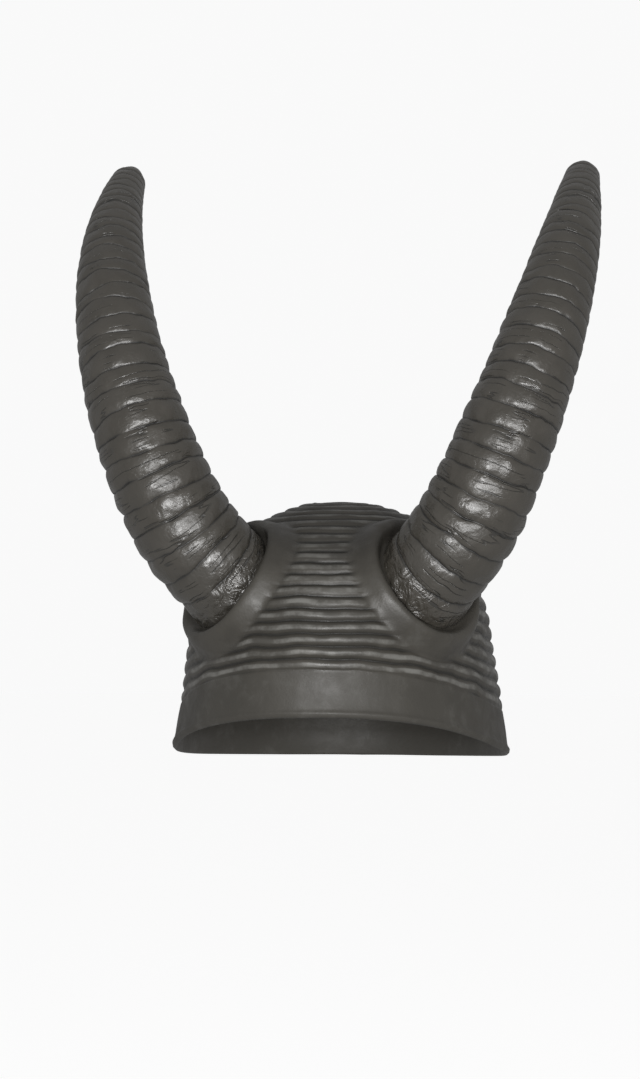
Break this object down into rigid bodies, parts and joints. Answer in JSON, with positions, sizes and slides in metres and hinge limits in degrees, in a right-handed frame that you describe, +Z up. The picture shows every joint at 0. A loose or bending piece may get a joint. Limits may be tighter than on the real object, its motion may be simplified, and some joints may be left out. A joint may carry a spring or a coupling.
{
  "type": "latex horned headpiece",
  "caption": "Hollow latex skull cap with a plain smooth band, even raised ridges above it, and two ribbed horns that sweep up and back in one curve, glued in dished sockets.",
  "frame": {"origin": "centre of the head opening, level with the sides of the cap's rim, where the cap sits on a head", "axes": "+Z up the head towards the horn tips, -Y the front of the cap, +X the wearer's left"},
  "size_m": [0.2488, 0.1959, 0.2944],
  "materials": {
    "cap_latex": "matt dark grey cast latex with lightly scuffed ridges",
    "horn_latex": "semi-gloss dark grey cast latex with a pitted, leathery skin"
  },
  "bodies": {
    "root": {"cap": "cap_latex", "horn_right": "horn_latex", "horn_left": "horn_latex"}
  },
  "joints": []
}
